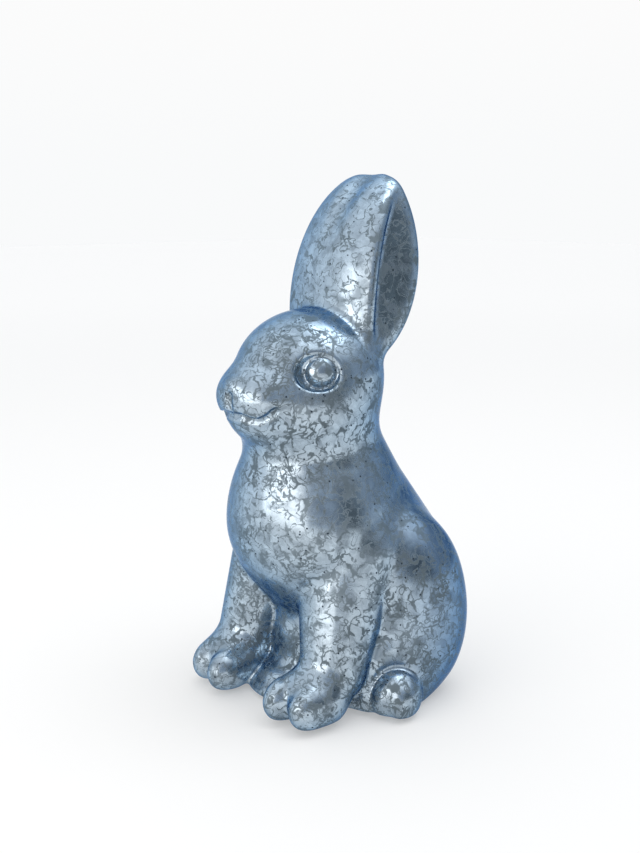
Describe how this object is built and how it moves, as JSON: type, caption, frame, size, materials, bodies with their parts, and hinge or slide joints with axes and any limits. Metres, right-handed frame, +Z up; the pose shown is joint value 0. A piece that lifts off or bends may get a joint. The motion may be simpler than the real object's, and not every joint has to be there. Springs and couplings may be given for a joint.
{
  "type": "rabbit figurine",
  "caption": "Sitting rabbit figurine in blown mercury glass with a blue satin lacquer, ears upright and joined, closed below by a push-in stopper and standing on felt pads.",
  "frame": {"origin": "on the ground under the middle of the figurine's bounding box", "axes": "+Z up, the rabbit looks along -Y, and its left side is +X"},
  "size_m": [0.0996, 0.0974, 0.1968],
  "materials": {
    "silvered_glass": "silvered inside, crackled, with a blue satin lacquer outside; opaque",
    "stopper_plastic": "matte, pale grey",
    "felt": "dark grey felt"
  },
  "bodies": {
    "root": {"glass_body": "silvered_glass", "base_stopper": "stopper_plastic", "front_left_pad": "felt", "front_right_pad": "felt", "rear_left_pad": "felt", "rear_right_pad": "felt"}
  },
  "joints": []
}
